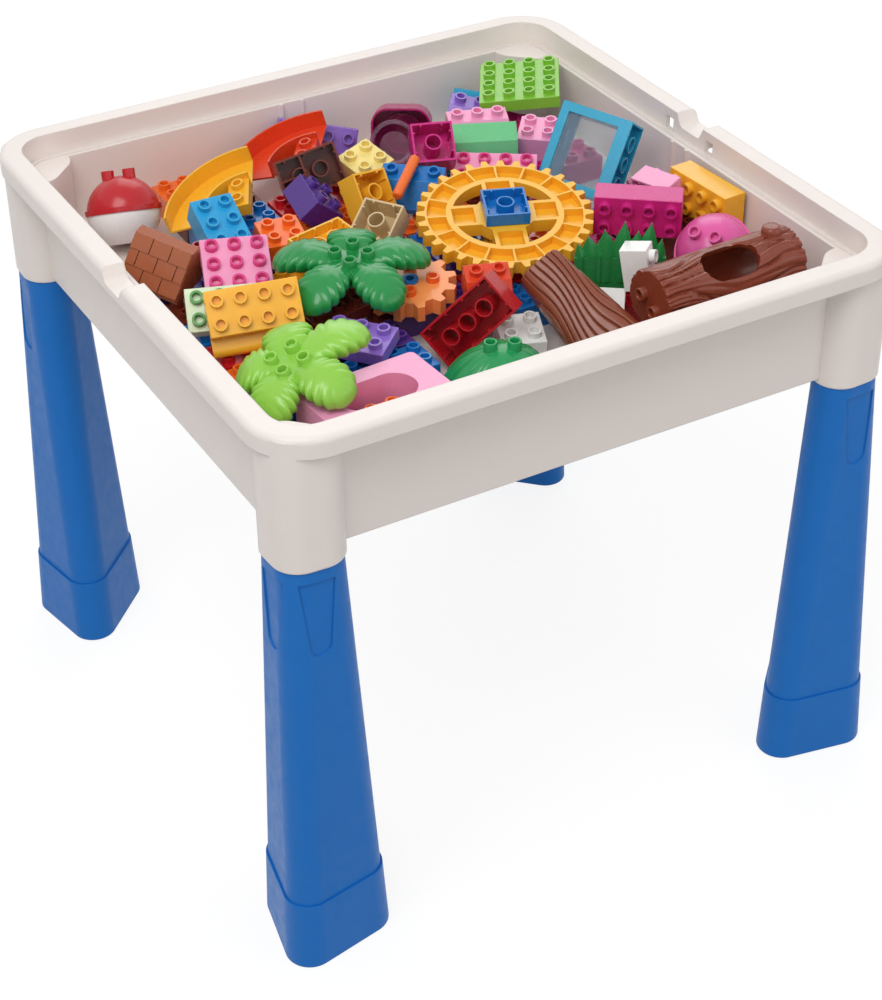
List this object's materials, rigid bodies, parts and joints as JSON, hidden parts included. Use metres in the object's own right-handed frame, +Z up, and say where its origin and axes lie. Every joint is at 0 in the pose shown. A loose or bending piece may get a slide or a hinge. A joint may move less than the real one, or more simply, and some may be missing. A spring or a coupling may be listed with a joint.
{
  "type": "building block table",
  "caption": "Square children's play table: a deep rimmed tray on plug-in flared legs, filled with loose studded bricks, slide chutes, palm tops, a hollow log and turning gears.",
  "frame": {"origin": "on the floor under the middle of the table", "axes": "+Z up, -Y to the front of the table as pictured, -X and +X to the two rims with a finger notch"},
  "size_m": [0.504, 0.504, 0.4472],
  "materials": {
    "tray_white": "satin, warm white",
    "leg_blue": "smooth, soft gloss",
    "red": "gloss",
    "blue": "gloss",
    "brown": "gloss",
    "magenta": "gloss",
    "purple": "gloss",
    "orange": "gloss",
    "yellow": "gloss",
    "white": "gloss",
    "pink": "gloss",
    "cyan": "gloss",
    "lavender": "gloss",
    "orange_red": "gloss",
    "cream": "gloss",
    "sky_blue": "gloss",
    "beige": "gloss",
    "pale_green": "gloss",
    "green": "gloss",
    "lime": "gloss",
    "mint": "gloss",
    "roof_brown": "gloss",
    "wood_brown": "gloss",
    "apricot": "gloss",
    "clear": "clear plastic",
    "clear_purple": "clear tinted plastic"
  },
  "bodies": {
    "table": {"beige_brick": "beige", "blue_bricks": "blue", "blue_slope": "blue", "brown_bricks": "brown", "brown_cell_brick": "brown", "clear_pot": "clear_purple", "cream_bricks": "cream", "cyan_plate": "cyan", "grass_tuft": "green", "green_dome_leaf": "green", "lavender_plates": "lavender", "lavender_slope": "lavender", "magenta_bowl": "magenta", "magenta_bricks": "magenta", "mint_slope": "mint", "orange_bricks": "orange", "orange_gear_pin": "blue", "orange_red_slope": "orange_red", "orange_rod": "orange", "pale_green_plate": "pale_green", "pink_ball_bowl": "pink", "pink_ball_dome": "pink", "pink_bricks": "pink", "pink_oval_block": "pink", "pink_plates": "pink", "pink_slope": "pink", "purple_bricks": "purple", "red_bricks": "red", "roof_tile_brick": "roof_brown", "tray": "tray_white", "tree_trunk": "wood_brown", "white_bricks": "white", "window_frame": "cyan", "window_pane": "clear", "yellow_bricks": "yellow"},
    "front_left_support": {"front_left_leg": "leg_blue", "front_left_foot_cap": "leg_blue"},
    "front_right_support": {"front_right_leg": "leg_blue", "front_right_foot_cap": "leg_blue"},
    "back_left_support": {"back_left_leg": "leg_blue", "back_left_foot_cap": "leg_blue"},
    "back_right_support": {"back_right_leg": "leg_blue", "back_right_foot_cap": "leg_blue"},
    "ring_gear_hub": {"gear_hub_plate": "blue"},
    "ring_gear": {"yellow_ring_gear": "yellow"},
    "small_gear": {"orange_gear": "apricot"},
    "green_palm": {"green_palm_top": "green"},
    "lime_palm": {"lime_palm_top": "lime"},
    "red_brick": {"red_long_brick": "red"},
    "log": {"hollow_log": "wood_brown"},
    "shelf_brick": {"yellow_shelf_brick": "yellow"},
    "top_plate": {"lime_plate": "lime"},
    "red_ball": {"red_ball_dome": "red", "white_ball_bowl": "white"},
    "slide_yellow": {"yellow_chute": "yellow"},
    "slide_red": {"orange_red_chute": "orange_red"},
    "sky_brick": {"sky_blue_brick": "sky_blue"}
  },
  "joints": [
    {"name": "front_left_leg_unplug", "type": "slide", "parent": "table", "child": "front_left_support", "axis": [0, 0, 1], "range_m": [-0.05, 0]},
    {"name": "front_right_leg_unplug", "type": "slide", "parent": "table", "child": "front_right_support", "axis": [0, 0, 1], "range_m": [-0.05, 0]},
    {"name": "back_left_leg_unplug", "type": "slide", "parent": "table", "child": "back_left_support", "axis": [0, 0, 1], "range_m": [-0.05, 0]},
    {"name": "back_right_leg_unplug", "type": "slide", "parent": "table", "child": "back_right_support", "axis": [0, 0, 1], "range_m": [-0.05, 0]},
    {"name": "ring_gear_lift", "type": "slide", "parent": "table", "child": "ring_gear_hub", "axis": [0, 0, 1], "range_m": [0, 0.12]},
    {"name": "ring_gear_turn", "type": "hinge", "parent": "ring_gear_hub", "child": "ring_gear", "pos_m": [0.0484, -0.0264, 0.41314], "axis": [-0.0586, -0.145, 0.9877], "continuous": true},
    {"name": "small_gear_turn", "type": "hinge", "parent": "table", "child": "small_gear", "pos_m": [-0.04717, -0.05691, 0.39869], "axis": [-0.0523, -0.0905, 0.9945], "continuous": true},
    {"name": "green_palm_lift", "type": "slide", "parent": "table", "child": "green_palm", "axis": [0, 0, 1], "range_m": [0, 0.12]},
    {"name": "lime_palm_lift", "type": "slide", "parent": "table", "child": "lime_palm", "axis": [0, 0, 1], "range_m": [0, 0.12]},
    {"name": "red_brick_lift", "type": "slide", "parent": "table", "child": "red_brick", "axis": [0, 0, 1], "range_m": [0, 0.12]},
    {"name": "log_lift", "type": "slide", "parent": "table", "child": "log", "axis": [0, 0, 1], "range_m": [0, 0.12]},
    {"name": "shelf_brick_lift", "type": "slide", "parent": "table", "child": "shelf_brick", "axis": [0, 0, 1], "range_m": [0, 0.12]},
    {"name": "top_plate_lift", "type": "slide", "parent": "table", "child": "top_plate", "axis": [0, 0, 1], "range_m": [0, 0.12]},
    {"name": "red_ball_lift", "type": "slide", "parent": "table", "child": "red_ball", "axis": [0, 0, 1], "range_m": [0, 0.12]},
    {"name": "slide_yellow_lift", "type": "slide", "parent": "table", "child": "slide_yellow", "axis": [0, 0, 1], "range_m": [0, 0.12]},
    {"name": "slide_red_lift", "type": "slide", "parent": "table", "child": "slide_red", "axis": [0, 0, 1], "range_m": [0, 0.12]},
    {"name": "sky_brick_lift", "type": "slide", "parent": "table", "child": "sky_brick", "axis": [0, 0, 1], "range_m": [0, 0.12]}
  ]
}
